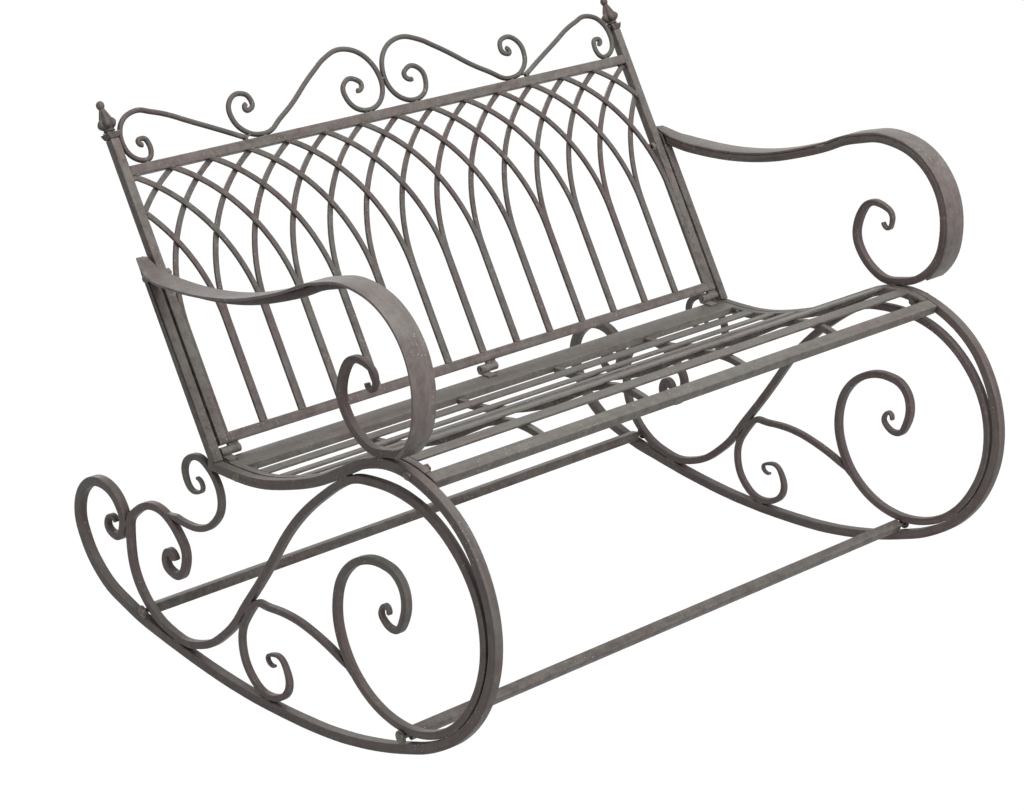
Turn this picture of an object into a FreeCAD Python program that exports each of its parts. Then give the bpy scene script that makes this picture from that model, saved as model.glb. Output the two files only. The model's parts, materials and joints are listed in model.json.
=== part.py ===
"""Rocking garden bench: scrolled side frames, slatted seat and a lattice back that folds forward.

Millimetres. X runs along the bench, Y to the back and Z up; the origin is on the floor, mid-bench.
"""
import FreeCAD, Part
import math
import os

os.makedirs("parts", exist_ok=True)
doc = FreeCAD.newDocument("rocking_bench")
Vector = FreeCAD.Vector
X_AXIS = Vector(1, 0, 0)
Y_AXIS = Vector(0, 1, 0)
Z_AXIS = Vector(0, 0, 1)
SIDES = (("left", -1), ("right", 1))

DIMENSIONS = (
    ("frame_spacing", 1060, "between the mid-planes of the two side frames"),
    ("rocker_bar", 15, "square bar of the rocker and of the seat-side rail"),
    ("scroll_bar", 12, "square bar of the main scroll and of the arm"),
    ("fine_bar", 10, "square bar of the mid and rear scrolls"),
    ("post_bar", 15, "square bar of the back post"),
    ("strap_width", 40, "flat strap on the arm"),
    ("strap_thickness", 4, ""),
    ("weld_gap", 0.2, "root gap left at every weld"),
    ("stretcher_bar", 15, "square stretchers between the frames"),
    ("bolt_radius", 4, "all bolts"),
    ("bolt_head_radius", 7, "domed head"),
    ("bolt_head_height", 5, ""),
    ("washer_radius", 10, ""),
    ("washer_thickness", 1.5, ""),
    ("nut_radius", 7.5, "across corners, half"),
    ("nut_height", 6.5, ""),
    ("seat_rail_bar", 12, "square side rail of the seat"),
    ("seat_side_gap", 2, "between the seat and each side frame"),
    ("seat_depth", 472, "along the curve, front rail to rear rail"),
    ("front_rail_depth", 20, "along the curve"),
    ("front_rail_height", 15, ""),
    ("rear_rail_depth", 42, "along the curve"),
    ("rear_rail_height", 12, ""),
    ("slat_count", 8, ""),
    ("slat_width", 20, ""),
    ("slat_thickness", 3.5, ""),
    ("support_count", 4, "curved bars below the slats"),
    ("support_bar", 10, ""),
    ("hinge_setback", 3.9, "rear edge of the seat to the hinge line"),
    ("hinge_clearance", 1.3, "top of the seat to the hinge barrels"),
    ("back_lean", 30, "degrees from upright"),
    ("back_bar", 15, "uprights and rails of the back"),
    ("back_side_gap", 4.5, "between each upright of the back and its post"),
    ("bottom_rail_rise", 9.5, "hinge line to the underside of the bottom rail"),
    ("top_rail_rise", 412, "hinge line to the underside of the top rail"),
    ("upright_reach", 44, "top rail to the top of the uprights"),
    ("finial_height", 58, ""),
    ("finial_collar", 18, "square"),
    ("lattice_bays", 14, ""),
    ("lattice_width", 8, "face of one lattice bar"),
    ("lattice_depth", 5, "front to back"),
    ("arch_spring", 180, "hinge line to the start of the arches"),
    ("crest_rod", 8, "diameter"),
    ("hinge_radius", 6.5, ""),
    ("hinge_length", 34, ""),
    ("hinge_inset", 1, "from the inner face of an upright to the middle of its hinge"),
    ("pin_radius", 3, ""),
    ("pin_play", 0.3, "between pin and knuckle"),
    ("lock_drop", 9.6, "rear end of the arm to the lock bolts"),
)

sheet = doc.addObject("Spreadsheet::Sheet", "dims")
for row, (alias, value, note) in enumerate(DIMENSIONS, start=1):
    sheet.set(f"A{row}", alias)
    sheet.set(f"B{row}", str(value))
    sheet.set(f"C{row}", note)
    sheet.setAlias(f"B{row}", alias)
doc.recompute()


def size(alias):
    """Value of one driving dimension."""
    return float(sheet.get(alias))


GAP = size("weld_gap")
FRAME_X = size("frame_spacing") / 2
NODES = []


def turned(angle):
    """Unit vector at an angle, in radians."""
    return math.cos(angle), math.sin(angle)


def shifted(point, angle, distance):
    """Point moved along a heading."""
    return point[0] + distance * math.cos(angle), point[1] + distance * math.sin(angle)


class Path:
    """Smooth planar chain of arcs through nodes, with a half width at each node."""

    def __init__(self, nodes, half, tip_share=None, tip_nodes=0, end_cuts=(None, None)):
        self.points = [node[:2] for node in nodes]
        self.headings = self._headings(nodes)
        self.halves = [half] * len(nodes)
        for index in range(tip_nodes):
            share = tip_share + (1 - tip_share) * index / tip_nodes
            self.halves[index] = half * share
        self.end_cuts = end_cuts
        self.arcs = chain(self.points, self.headings)

    def _headings(self, nodes):
        """Heading at each node: given in degrees, or that of the circle through its neighbours."""
        count = len(nodes)
        headings = []
        for index, node in enumerate(nodes):
            if len(node) > 2:
                headings.append(math.radians(node[2]))
                continue
            first = min(max(index - 1, 0), count - 3)
            headings.append(circle_heading([nodes[first + k][:2] for k in range(3)], index - first))
        return headings

    def length(self):
        return sum(arc[3] for arc in self.arcs)

    def at(self, distance):
        """Point and heading at a distance along the path."""
        for arc in self.arcs:
            if distance <= arc[3]:
                return arc_point(arc, distance)
            distance -= arc[3]
        return arc_point(self.arcs[-1], self.arcs[-1][3] + distance)

    def nearest(self, target, step=0.5):
        """Distance along the path of the point nearest to a target."""
        steps = int(self.length() / step)
        return step * min(range(steps), key=lambda k: math.dist(self.at(k * step)[0], target))

    def beside(self, target, offset):
        """Node at an offset to the left of the path, beside a target point."""
        point, heading = self.at(self.nearest(target))
        return (*shifted(point, heading + math.pi / 2, offset), math.degrees(heading))

    def outline(self):
        """Closed list of edges round the bar."""
        left, right = self._side(1), self._side(-1)
        edges = [side_edge(*step) for step in zip(left, left[1:])]
        edges.append(Part.LineSegment(plane_point(left[-1][0]), plane_point(right[-1][0])))
        edges += [side_edge(*step) for step in zip(right, right[1:])]
        edges.append(Part.LineSegment(plane_point(right[0][0]), plane_point(left[0][0])))
        return edges

    def _side(self, sign):
        """(point, middle of the stretch after it) along one side, with the ends cut at the asked angles."""
        side, last = [], len(self.arcs)
        for index in range(last + 1):
            arc, share = (self.arcs[index], 0) if index < last else (self.arcs[-1], 1)
            middle = self._beside_arc(arc, 0.5, index + 0.5, sign) if index < last else None
            side.append([self._beside_arc(arc, share, index, sign), middle])
        for index, cut in zip((0, -1), self.end_cuts):
            if cut is not None:
                heading = self.headings[index]
                angle = math.radians(cut) - heading
                slide = sign * self.halves[index] * math.cos(angle) / math.sin(angle)
                side[index][0] = shifted(side[index][0], heading, slide)
        return side

    def _beside_arc(self, arc, share, place, sign):
        """Point beside an arc; place counts arcs, of which there are two for each node."""
        point, heading = arc_point(arc, share * arc[3])
        first = min(int(place / 2), len(self.halves) - 1)
        second = min(first + 1, len(self.halves) - 1)
        half = self.halves[first] + (self.halves[second] - self.halves[first]) * (place / 2 - first)
        return shifted(point, heading + sign * math.pi / 2, half)


def side_edge(start, end):
    """Edge of a side between two of its stations."""
    ends = plane_point(start[0]), plane_point(end[0])
    middle = plane_point(start[1])
    if middle.distanceToLine(ends[0], ends[1] - ends[0]) < 1e-4:
        return Part.LineSegment(*ends)
    return Part.Arc(ends[0], middle, ends[1])


def circle_heading(points, which):
    """Heading, at one of three points, of the circle that runs through them in order."""
    (ax, ay), (bx, by), (cx, cy) = points
    cross = (bx - ax) * (cy - ay) - (by - ay) * (cx - ax)
    if abs(cross) < 1e-6:
        return math.atan2(cy - ay, cx - ax)
    square_b = (bx - ax) ** 2 + (by - ay) ** 2
    square_c = (cx - ax) ** 2 + (cy - ay) ** 2
    centre_x = ax + ((cy - ay) * square_b - (by - ay) * square_c) / (2 * cross)
    centre_y = ay + ((bx - ax) * square_c - (cx - ax) * square_b) / (2 * cross)
    x, y = points[which]
    return math.atan2(y - centre_y, x - centre_x) + math.copysign(math.pi / 2, cross)


def arc_between(start, heading, end):
    """Arc (start, heading, curvature, length) that leaves on a heading and reaches a point."""
    chord = math.dist(start, end)
    swing = math.atan2(end[1] - start[1], end[0] - start[0]) - heading
    swing = math.atan2(math.sin(swing), math.cos(swing))
    if abs(swing) < 1e-6:
        return start, heading, 0.0, chord
    curvature = 2 * math.sin(swing) / chord
    return start, heading, curvature, 2 * swing / curvature


def arc_point(arc, distance):
    """Point and heading at a distance along an arc."""
    (x, y), heading, curvature = arc[:3]
    if curvature == 0:
        return shifted((x, y), heading, distance), heading
    turned_to = heading + curvature * distance
    x += (math.sin(turned_to) - math.sin(heading)) / curvature
    y += (math.cos(heading) - math.cos(turned_to)) / curvature
    return (x, y), turned_to


def chain(points, headings):
    """Two tangent arcs from each node to the next."""
    arcs = []
    for k in range(len(points) - 1):
        start, end = points[k], points[k + 1]
        leave, arrive = turned(headings[k]), turned(headings[k + 1])
        across = (end[0] - start[0], end[1] - start[1])
        both = (leave[0] + arrive[0], leave[1] + arrive[1])
        along = across[0] * both[0] + across[1] * both[1]
        square = across[0] ** 2 + across[1] ** 2
        bend = 2 * (1 - leave[0] * arrive[0] - leave[1] * arrive[1])
        if bend < 1e-9:
            reach = square / (2 * along)
        else:
            reach = (math.sqrt(along ** 2 + bend * square) - along) / bend
        middle = tuple(
            (start[i] + end[i] + reach * (leave[i] - arrive[i])) / 2 for i in range(2)
        )
        first = arc_between(start, headings[k], middle)
        arcs.append(first)
        arcs.append(arc_between(middle, arc_point(first, first[3])[1], end))
        arcs[-1] = (*arcs[-1], end)
    return [arc[:4] + (arc_end(arcs, k),) for k, arc in enumerate(arcs)]


def arc_end(arcs, index):
    """End point of an arc: its own, or the start of the arc after it."""
    return arcs[index][4] if len(arcs[index]) > 4 else arcs[index + 1][0]


def plane_point(point):
    return Vector(point[0], point[1], 0)


def arc_edge(arc):
    """Sketch edge of an arc."""
    start, _, curvature, length, end = arc
    if abs(curvature) * length < 1e-4:
        return Part.LineSegment(plane_point(start), plane_point(end))
    middle = arc_point(arc[:4], length / 2)[0]
    return Part.Arc(plane_point(start), plane_point(middle), plane_point(end))


def node(name, thing):
    """Name a finished sub-part."""
    thing.Label = name
    NODES.append(thing)
    return thing


def expression(thing, **bindings):
    """Bind properties of an object to the sheet."""
    for name, formula in bindings.items():
        thing.setExpression(name, formula)


def plate(name, role, loops, thickness, reverse=False, symmetric=True):
    """Body padded from closed loops drawn on one of its origin planes."""
    body = doc.addObject("PartDesign::Body", name)
    body.AllowCompound = True
    sketch = body.newObject("Sketcher::SketchObject", f"{name}_outline")
    plane = [feature for feature in body.Origin.OriginFeatures if feature.Role == role][0]
    sketch.AttachmentSupport = [(plane, "")]
    sketch.MapMode = "FlatFace"
    for loop in loops:
        sketch.addGeometry(loop)
    pad = body.newObject("PartDesign::Pad", f"{name}_pad")
    pad.Profile = sketch
    pad.SideType = "Symmetric" if symmetric else "One side"
    pad.Reversed = reverse
    pad.setExpression("Length", thickness)
    sketch.Visibility = False
    return body


def frame_bar(name, path, thickness, centre, holes=()):
    """Bar bent in the plane of a side frame, at a distance along X, with bolt holes along X."""
    loops = [path.outline()]
    for y, z in holes:
        loops.append([Part.Circle(Vector(y, z, 0), Z_AXIS, size("bolt_radius") + GAP)])
    body = plate(name, "YZ_Plane", loops, thickness)
    body.setExpression("Placement.Base.x", centre)
    return node(name, body)


def taper_end(body, x, y, inset, run, bulge):
    """Narrow the rear end of a strap, seen from above, with an arc on its side at x."""
    sketch = body.newObject("Sketcher::SketchObject", f"{body.Name}_taper")
    plane = [feature for feature in body.Origin.OriginFeatures if feature.Role == "XY_Plane"][0]
    sketch.AttachmentSupport = [(plane, "")]
    sketch.MapMode = "FlatFace"
    outward = math.copysign(1, x)
    start, end = (x, y - run), (x - outward * inset, y)
    spare = (x + outward * inset, y + run)
    corners = [end, (end[0], spare[1]), spare, (spare[0], start[1]), start]
    edges = [Part.LineSegment(plane_point(p), plane_point(q)) for p, q in zip(corners, corners[1:])]
    middle = ((start[0] + end[0]) / 2 + outward * bulge, (start[1] + end[1]) / 2)
    edges.append(Part.Arc(plane_point(start), plane_point(middle), plane_point(end)))
    sketch.addGeometry(edges)
    pocket = body.newObject("PartDesign::Pocket", f"{body.Name}_narrowing")
    pocket.Profile = sketch
    pocket.SideType = "Symmetric"
    pocket.Length = 4 * hinge_z
    sketch.Visibility = False


def box(name, length, width, height):
    """Block centred along X, with its length along X and its near lower edge on the X axis."""
    block = doc.addObject("Part::Box", name)
    expression(block, Length=length, Width=width, Height=height)
    block.recompute()
    return block


def fuse(name, parts):
    union = doc.addObject("Part::MultiFuse", name)
    union.Shapes = parts
    return union


def group(name, parts):
    """Identical separate pieces under one name."""
    compound = doc.addObject("Part::Compound", name)
    compound.Links = parts
    return node(name, compound)


def cylinder(name, radius, height, placement):
    """Round bar; its axis is the placement's Z."""
    bar = doc.addObject("Part::Cylinder", name)
    expression(bar, Radius=radius, Height=height)
    bar.recompute()
    bar.Placement = placement
    return bar


def along_x(x, y, z, outward):
    """Placement whose Z axis runs along +X or -X."""
    return FreeCAD.Placement(Vector(x, y, z), FreeCAD.Rotation(Y_AXIS, 90 * outward))


def domed_bolt(name, placement, shank):
    """Domed head that stands up from the placement, with a shank below it."""
    rod = cylinder(f"{name}_shank", "dims.bolt_radius", shank, placement)
    length = rod.Height.Value
    rod.Placement = placement.multiply(FreeCAD.Placement(Vector(0, 0, -length), FreeCAD.Rotation()))
    head = doc.addObject("Part::Sphere", f"{name}_dome")
    rise, radius = size("bolt_head_height"), size("bolt_head_radius")
    ball = (radius ** 2 + rise ** 2) / (2 * rise)
    head.setExpression(
        "Radius", "(dims.bolt_head_radius^2 + dims.bolt_head_height^2) / 2 / dims.bolt_head_height")
    head.Angle1 = math.degrees(math.asin((ball - rise) / ball))
    head.Placement = placement.multiply(FreeCAD.Placement(Vector(0, 0, rise - ball), FreeCAD.Rotation()))
    return fuse(name, [rod, head])


def ring(name, outer, inner, height, placement):
    """Washer or nut blank with a bore; its axis is the placement's Z."""
    bore = cylinder(f"{name}_bore", inner, f"{height} + 2", placement)
    bore.Placement = placement.multiply(FreeCAD.Placement(Vector(0, 0, -1), FreeCAD.Rotation()))
    cut = doc.addObject("Part::Cut", name)
    cut.Base = outer
    cut.Tool = bore
    return cut


def washer(name, placement):
    disc = cylinder(f"{name}_disc", "dims.washer_radius", "dims.washer_thickness", placement)
    return ring(name, disc, "dims.bolt_radius + dims.weld_gap", "dims.washer_thickness", placement)


def hex_nut(name, placement):
    blank = doc.addObject("Part::Prism", f"{name}_blank")
    blank.Polygon = 6
    expression(blank, Circumradius="dims.nut_radius", Height="dims.nut_height")
    blank.Placement = placement
    return ring(name, blank, "dims.bolt_radius + dims.weld_gap", "dims.nut_height", placement)


# Side frames: through-points of the bars in the (Y, Z) plane of a frame.
ROCKER_POINTS = (
    (364, 181), (374, 186.5), (386.5, 173), (364, 157.5), (343, 185), (356, 217.5), (400, 234.5),
    (444, 210), (457.5, 174), (441, 120), (404, 80), (328, 47.6), (231, 27.9), (8, 7.5, 180),
    (-194.5, 25), (-276.5, 47.5), (-340.5, 73.2), (-399, 115), (-441, 177.5), (-457.8, 257.5, 90),
    (-440, 339), (-395, 404.5), (-338, 440), (-264, 455), (-212, 443), (-168, 419), (-125, 394),
    (-61, 368), (28, 345.5), (80, 342.8), (124, 343.5),
)
rocker_half = size("rocker_bar") / 2
scroll_half = size("scroll_bar") / 2
fine_half = size("fine_bar") / 2
rocker = Path(ROCKER_POINTS, rocker_half, 0.6, 4)


def held(path, near, path_half, half, side):
    """Node of a bar that lies against another bar near a point, on its left (1) or right (-1)."""
    return path.beside(near, side * (path_half + half + GAP))


def reverse(contact):
    """The same contact, run the other way."""
    return contact[0], contact[1], contact[2] + 180


loop_seat = held(rocker, (-386, 100), rocker_half, scroll_half, -1)
rail_seat = held(rocker, (-166, 420), rocker_half, scroll_half, -1)
rocker_seat = reverse(held(rocker, (218, 26), rocker_half, scroll_half, -1))
curl_seat = held(rocker, (343, 187), rocker_half, scroll_half, 1)
MAIN_FRONT = (
    (-252, 238), (-248.5, 247), (-236.5, 237), (-247, 221), (-264, 218), (-284.5, 246), (-270, 299),
    (-236, 307.5), (-195, 297), (-158, 262), (-145, 214), (-166, 142), (-210, 100), (-275, 80),
)
MAIN_LOOP = ((-422.5, 175), (-439, 250), (-427, 311), (-384, 372), (-333, 406), (-284, 419.5), (-240, 421))
MAIN_DIAGONAL = ((-105, 355), (47, 159), (97, 93), (153, 51.5))
MAIN_REAR = ((272, 57), (314, 98))
MAIN_CURL = (
    (303, 220), (262, 235), (215, 214), (193.5, 177), (220, 140.5), (243, 157), (230, 173), (222, 165),
)
main = Path(
    (*MAIN_FRONT, loop_seat, *MAIN_LOOP, rail_seat, *MAIN_DIAGONAL, rocker_seat, *MAIN_REAR, curl_seat,
     *MAIN_CURL),
    scroll_half, 0.6, 5)

diagonal_seat = reverse(held(main, (47, 159), scroll_half, fine_half, -1))
floor_seat = reverse(held(rocker, (12, 8), rocker_half, fine_half, -1))
loop_end = main.beside((-172, 131), scroll_half + GAP)
mid = Path(
    ((-4, 72), (9.5, 76), (-8, 91), (-35, 65), floor_seat, (57, 48), (68.5, 86), diagonal_seat, (-5, 161.5),
     (-58, 162), (-104, 152.5), loop_end[:2]),
    fine_half, 0.6, 3, (None, loop_end[2]))

tail = rocker.points[-1]
corner = (tail[0] + 0.545 * (fine_half + GAP), tail[1] - rocker_half - 0.838 * (fine_half + GAP))
rear = Path(
    ((160, 311), (148.5, 303), (167, 287.5), (188.5, 310), (158, 344), corner, (105.5, 290), (131, 246.5),
     (160, 233), (187, 230.5), (214, 233)),
    fine_half, 0.6, 3)

# The seat follows the seat-side rail of the frames, and the back is hinged on its rear end.
seat_half = size("seat_rail_bar") / 2
seat_x = FRAME_X - rocker_half - size("seat_side_gap") - seat_half
seat_inner = seat_x - seat_half
seat_start = rocker.nearest((-331, 441))


def seat_node(distance, drop=0.0):
    """Node on the top surface of the seat, or below it, at a distance from its front edge."""
    point, heading = rocker.at(seat_start + distance)
    return (*shifted(point, heading + math.pi / 2, rocker_half - drop), math.degrees(heading))


rear_depth = size("rear_rail_depth")
rail_y, seat_z, _ = seat_node(size("seat_depth") - rear_depth / 2)
hinge_y = rail_y + rear_depth / 2 + size("hinge_setback")
hinge_radius = size("hinge_radius")
hinge_z = seat_z + hinge_radius + size("hinge_clearance")
lean = 90 - size("back_lean")
post_half = size("post_bar") / 2


def post_point(height, forward=0.0):
    """Point on the post's centre line, which passes through the hinge line, or beside it to the front."""
    along = (height - hinge_z) / math.tan(math.radians(lean))
    return hinge_y + along - forward / math.sin(math.radians(lean)), height


def back_placement(x=0, rise=0, forward=0, rotation=None):
    """Placement in the frame of the back: x, height up the back, and distance forward."""
    tilt = FreeCAD.Rotation(X_AXIS, lean)
    base = Vector(0, hinge_y, hinge_z) + tilt.multVec(Vector(x, rise, forward))
    return FreeCAD.Placement(base, tilt.multiply(rotation) if rotation else tilt)


ARM_HEIGHT = 598
arm_end = post_point(ARM_HEIGHT, post_half + GAP)
arm_seat = held(rocker, (-243, 452), rocker_half, scroll_half, 1)
ARM_REAR = ((-31.5, -5), (-86.5, -6))
ARM_TOP = (
    (96, 597), (33, 608), (-71, 641), (-149, 674), (-208, 686), (-278.5, 667), (-316, 627),
    (-331.5, 567.5), (-322, 518), (-290, 482),
)
ARM_CURL = ((-191, 481), (-163, 537), (-203, 583.5), (-231, 563), (-222, 547), (-214, 554.5))
arm_rear = [(arm_end[0] + y, arm_end[1] + z) for y, z in ARM_REAR]
arm = Path(
    (*ARM_CURL[::-1], reverse(arm_seat), *ARM_TOP[::-1], *arm_rear[::-1], (*arm_end, 20)),
    scroll_half, 0.6, 3, (None, lean))

# The strap runs along the outside of the arm, from its front to the top of the post.
STRAP_TAPER, STRAP_BULGE = 80, 5
STRAP_FRONT = (-301, 490)
strap_half = size("strap_thickness") / 2
strap_offset = scroll_half + strap_half + GAP
strap_start = arm.nearest(STRAP_FRONT)
stations = [arm.at(strap_start)]
reached = 0
for arc in arm.arcs:
    reached += arc[3]
    if reached > strap_start + 1:
        stations.append(arm.at(reached))
overhang = (size("post_bar") + GAP) / math.sin(math.radians(lean - 20))
stations.append((shifted(*stations[-1], overhang), stations[-1][1]))
strap = Path(
    [(*shifted(point, heading + math.pi / 2, strap_offset), math.degrees(heading))
     for point, heading in stations],
    strap_half)


def post_top():
    """Point where the post's centre line meets the underside of the strap, and the strap's heading."""
    point, heading = strap.points[-1], strap.headings[-1]
    y, z = shifted(point, heading - math.pi / 2, strap_half + GAP)
    slope = 1 / math.tan(math.radians(lean))
    foot_y = post_point(0)[0]
    rise, run = math.sin(heading), math.cos(heading)
    return post_point(((y - foot_y) * rise - z * run) / (slope * rise - run)), math.degrees(heading)


top, top_cut = post_top()
post = Path(
    ((*post_point(tail[1] + rocker_half + GAP), lean), (*top, lean)), post_half, end_cuts=(0, top_cut))

front_depth = size("front_rail_depth")
slat_count = int(size("slat_count"))
slat_room = size("seat_depth") - front_depth - rear_depth - slat_count * size("slat_width")
slat_space = slat_room / (slat_count + 1)
SEAT_BOLTS = (
    ("front", front_depth + slat_space / 2),
    ("rear", size("seat_depth") - rear_depth - slat_space / 2),
)
seat_holes = [seat_node(distance, rocker_half)[:2] for _, distance in SEAT_BOLTS]
lock_y, lock_z = post_point(ARM_HEIGHT - size("lock_drop"))
for side, sign in SIDES:
    centre = f"{sign} * dims.frame_spacing / 2"
    frame_bar(f"rocker_{side}", rocker, "dims.rocker_bar", centre, seat_holes)
    frame_bar(f"main_scroll_{side}", main, "dims.scroll_bar", centre)
    frame_bar(f"mid_scroll_{side}", mid, "dims.fine_bar", centre)
    frame_bar(f"rear_scroll_{side}", rear, "dims.fine_bar", centre)
    frame_bar(f"back_post_{side}", post, "dims.post_bar", centre, [(lock_y, lock_z)])
    frame_bar(f"arm_bar_{side}", arm, "dims.scroll_bar", centre)
    band = frame_bar(f"arm_strap_{side}", strap, "dims.strap_width",
                     f"{sign} * (dims.frame_spacing - dims.scroll_bar + dims.strap_width) / 2")
    taper_end(band, sign * size("strap_width") / 2, strap.points[-1][0],
              size("strap_width") - size("post_bar"), STRAP_TAPER, STRAP_BULGE)

# Stretchers, bolted in the crevices between the rocker and the main scroll; the last value is the tilt.
STRETCHERS = (("front", -281, 67.5, 28), ("rear", 298, 57, -10))
bolts, washers = [], []
for label, y, z, angle in STRETCHERS:
    bar = box(f"{label}_stretcher", "dims.frame_spacing - dims.rocker_bar", "dims.stretcher_bar",
              "dims.stretcher_bar")
    tilt = FreeCAD.Rotation(X_AXIS, angle)
    corner_shift = Vector(rocker_half - FRAME_X, -size("stretcher_bar") / 2, -size("stretcher_bar") / 2)
    bar.Placement = FreeCAD.Placement(Vector(0, y, z) + tilt.multVec(corner_shift), tilt)
    node(f"{label}_stretcher", bar)
    for side, sign in SIDES:
        outer = sign * (FRAME_X + rocker_half)
        washers.append(washer(f"{label}_washer_{side}", along_x(outer, y, z, sign)))
        head = along_x(outer + sign * size("washer_thickness"), y, z, sign)
        bolts.append(domed_bolt(
            f"{label}_bolt_{side}", head, "dims.rocker_bar + dims.washer_thickness - dims.weld_gap"))
group("stretcher_bolts", bolts)
group("stretcher_washers", washers)


def seat_bar(name, bar, drop, thickness, centre, holes=()):
    """Curved bar from the front rail to the rear rail."""
    first = size("front_rail_depth") + 2 * GAP
    last = size("seat_depth") - size("rear_rail_depth") - 2 * GAP
    count = 12
    nodes = [seat_node(first + (last - first) * k / count, drop + bar / 2) for k in range(count + 1)]
    return frame_bar(name, Path(nodes, bar / 2), thickness, centre, holes)


def seat_board(name, distance, width, height, length):
    """Straight bar across the seat, flush with its top."""
    board = box(name, length, width, height)
    y, z, heading = seat_node(distance)
    tilt = FreeCAD.Rotation(X_AXIS, heading)
    across = Vector(-board.Length.Value / 2, -board.Width.Value / 2, -board.Height.Value)
    board.Placement = FreeCAD.Placement(Vector(0, y, z) + tilt.multVec(across), tilt)
    return node(name, board)


for side, sign in SIDES:
    seat_bar(f"seat_side_rail_{side}", size("seat_rail_bar"), 0, "dims.seat_rail_bar", f"{sign * seat_x}",
             seat_holes)
support_count = int(size("support_count"))
for index in range(support_count):
    x = seat_inner * (2 * (index + 1) / (support_count + 1) - 1)
    seat_bar(f"seat_support_{index + 1}", size("support_bar"), size("slat_thickness") + 2 * GAP,
             "dims.support_bar", f"{x}")
RAIL_LENGTH = "dims.frame_spacing - dims.rocker_bar - 2 * dims.seat_side_gap"
SLAT_LENGTH = f"{RAIL_LENGTH} - 2 * dims.seat_rail_bar - 2 * dims.weld_gap"
seat_board("seat_front_rail", front_depth / 2, "dims.front_rail_depth", "dims.front_rail_height", RAIL_LENGTH)
seat_board("seat_rear_rail", size("seat_depth") - rear_depth / 2, "dims.rear_rail_depth",
           "dims.rear_rail_height", RAIL_LENGTH)
for index in range(slat_count):
    distance = front_depth + slat_space * (index + 1) + size("slat_width") * (index + 0.5)
    seat_board(f"seat_slat_{index + 1}", distance, "dims.slat_width", "dims.slat_thickness", SLAT_LENGTH)

seat_bolts, seat_nuts = [], []
for (label, _), (y, z) in zip(SEAT_BOLTS, seat_holes):
    for side, sign in SIDES:
        seat_bolts.append(domed_bolt(
            f"seat_bolt_{label}_{side}", along_x(sign * (FRAME_X + rocker_half), y, z, sign),
            "dims.rocker_bar + dims.seat_side_gap + dims.seat_rail_bar + dims.nut_height + 1"))
        seat_nuts.append(hex_nut(f"seat_nut_{label}_{side}", along_x(sign * seat_inner, y, z, -sign)))
group("seat_bolts", seat_bolts)
group("seat_nuts", seat_nuts)

# Back, drawn in its own leaning plane from the hinge line.
back_bar = size("back_bar")
upright_x = FRAME_X - post_half - size("back_side_gap") - back_bar / 2
back_inner = upright_x - back_bar / 2
top_rail = size("top_rail_rise")
upright_top = top_rail + back_bar + size("upright_reach")
bottom_top = size("bottom_rail_rise") + back_bar


def back_block(name, length, height, x, rise):
    """Square bar of the back; x and rise are those of its left lower corner."""
    bar = box(name, length, height, "dims.back_bar")
    bar.Placement = back_placement(x, rise, -back_bar / 2)
    return node(name, bar)


for side, sign in SIDES:
    back_block(f"back_upright_{side}", "dims.back_bar",
               "dims.top_rail_rise + dims.back_bar + dims.upright_reach - dims.bottom_rail_rise",
               sign * upright_x - back_bar / 2, size("bottom_rail_rise"))
RAIL_BETWEEN = "dims.frame_spacing - dims.post_bar - 2 * dims.back_side_gap - 2 * dims.back_bar"
back_block("back_bottom_rail", RAIL_BETWEEN, "dims.back_bar", -back_inner, size("bottom_rail_rise"))
back_block("back_top_rail", RAIL_BETWEEN, "dims.back_bar", -back_inner, top_rail)

FINIAL_PROFILE = (
    (0.14, 6.5), (0.19, 5.5), (0.27, 9.5), (0.36, 12), (0.45, 11), (0.52, 8.5), (0.66, 6.2), (0.79, 4.6),
)
FINIAL_BALL = 6


def finial(side, sign):
    """Cast finial: square collar, lobed bulb, cone and ball."""
    name = f"finial_{side}"
    height = size("finial_height")
    body = doc.addObject("PartDesign::Body", name)
    collar = body.newObject("PartDesign::AdditiveBox", f"{name}_collar")
    expression(collar, Length="dims.finial_collar", Width="dims.finial_collar",
               Height="dims.finial_height * 0.14")
    collar.Placement.Base = Vector(-size("finial_collar") / 2, -size("finial_collar") / 2, 0)
    sketch = body.newObject("Sketcher::SketchObject", f"{name}_profile")
    plane = [feature for feature in body.Origin.OriginFeatures if feature.Role == "XZ_Plane"][0]
    sketch.AttachmentSupport = [(plane, "")]
    sketch.MapMode = "FlatFace"
    start = FINIAL_PROFILE[0][0] * height - 1
    points = [(0, start), (FINIAL_PROFILE[0][1], start)]
    points += [(radius, share * height) for share, radius in FINIAL_PROFILE]
    ball_z = height - FINIAL_BALL
    neck = points[-1][0]
    points.append((neck, ball_z - math.sqrt(FINIAL_BALL ** 2 - neck ** 2)))
    edges = [Part.LineSegment(plane_point(a), plane_point(b)) for a, b in zip(points, points[1:])]
    edges.append(Part.Arc(plane_point(points[-1]), Vector(FINIAL_BALL, ball_z, 0), Vector(0, height, 0)))
    edges.append(Part.LineSegment(Vector(0, height, 0), plane_point(points[0])))
    sketch.addGeometry(edges)
    turn = body.newObject("PartDesign::Revolution", f"{name}_turned")
    turn.Profile = sketch
    turn.ReferenceAxis = (sketch, ["V_Axis"])
    turn.Angle = 360
    sketch.Visibility = False
    body.Placement = back_placement(
        sign * upright_x, upright_top, 0, FreeCAD.Rotation(X_AXIS, -90))
    return node(name, body)


for side, sign in SIDES:
    finial(side, sign)

# Lattice: from each foot one bar arches to the left in the front layer, one to the right in the rear layer.
bays = int(size("lattice_bays"))
pitch = 2 * back_inner / bays
lattice_half = size("lattice_width") / 2
foot_shift = lattice_half + GAP
spring = size("arch_spring")
arch_reach = 2 * pitch - foot_shift
arch_rise = top_rail - 2 * GAP - spring
arch_radius = (arch_reach ** 2 + arch_rise ** 2) / (2 * arch_reach)


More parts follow.
